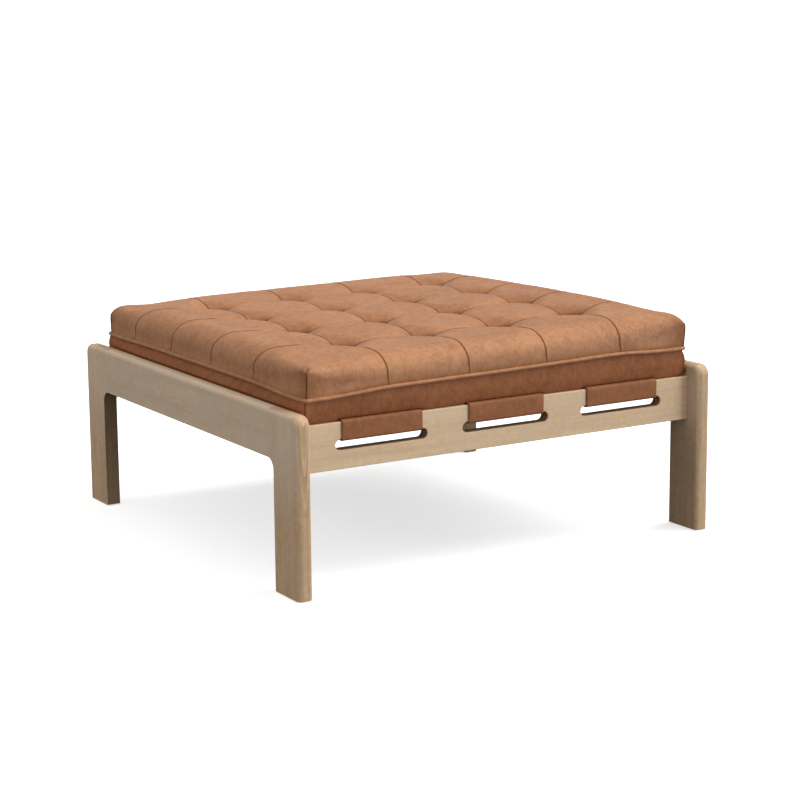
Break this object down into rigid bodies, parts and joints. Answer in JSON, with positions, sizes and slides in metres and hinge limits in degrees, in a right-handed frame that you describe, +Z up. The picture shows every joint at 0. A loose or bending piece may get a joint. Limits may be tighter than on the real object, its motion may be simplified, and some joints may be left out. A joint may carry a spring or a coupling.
{
  "type": "ottoman coffee table",
  "caption": "Low square upholstered ottoman table: tufted leather cushion on leather slings between two arched wooden end frames joined by slotted rails.",
  "frame": {"origin": "centre of the footprint, on the floor under the glides", "axes": "+X along the slotted rails towards the right end frame, +Y towards the rear rail, +Z up"},
  "size_m": [0.8636, 0.8636, 0.4128],
  "materials": {
    "oak": "washed grey-brown oak, satin",
    "dowel_wood": "plain beech",
    "plywood": "plywood, unfinished",
    "cushion_leather": "tan nubuck-look leather, mottled",
    "strap_leather": "tan leather, smooth",
    "black_steel": "black powder coat",
    "zinc_steel": "zinc plated",
    "insert_brass": "plain",
    "glide_plastic": "dark nylon",
    "bottom_cloth": "black dust cloth",
    "foam": "upholstery foam",
    "twine": "waxed twine",
    "disc_plastic": "plain"
  },
  "bodies": {
    "frame": {"bracket_bolts": "zinc_steel", "bracket_screws": "zinc_steel", "centre_strap": "strap_leather", "foot_glides": "glide_plastic", "frame_dowels": "dowel_wood", "front_left_bracket": "black_steel", "front_left_leg": "oak", "front_rail": "oak", "front_right_bracket": "black_steel", "front_right_leg": "oak", "left_strap": "strap_leather", "left_top_rail": "oak", "rail_dowels": "dowel_wood", "rear_left_bracket": "black_steel", "rear_left_leg": "oak", "rear_rail": "oak", "rear_right_bracket": "black_steel", "rear_right_leg": "oak", "right_strap": "strap_leather", "right_top_rail": "oak", "strap_rivets": "zinc_steel", "threaded_inserts": "insert_brass"},
    "cushion": {"cushion_cover_top": "cushion_leather", "quilted_pad": "foam", "cushion_welt": "cushion_leather", "cushion_band": "cushion_leather", "cushion_bottom_cover": "bottom_cloth", "base_board": "plywood", "foam_core": "foam", "tufting_twines": "twine", "tuft_discs": "disc_plastic", "anchor_discs": "disc_plastic"}
  },
  "joints": [
    {"name": "cushion_lift", "type": "slide", "parent": "frame", "child": "cushion", "axis": [0, 0, 1], "range_m": [0, 0.15]}
  ]
}
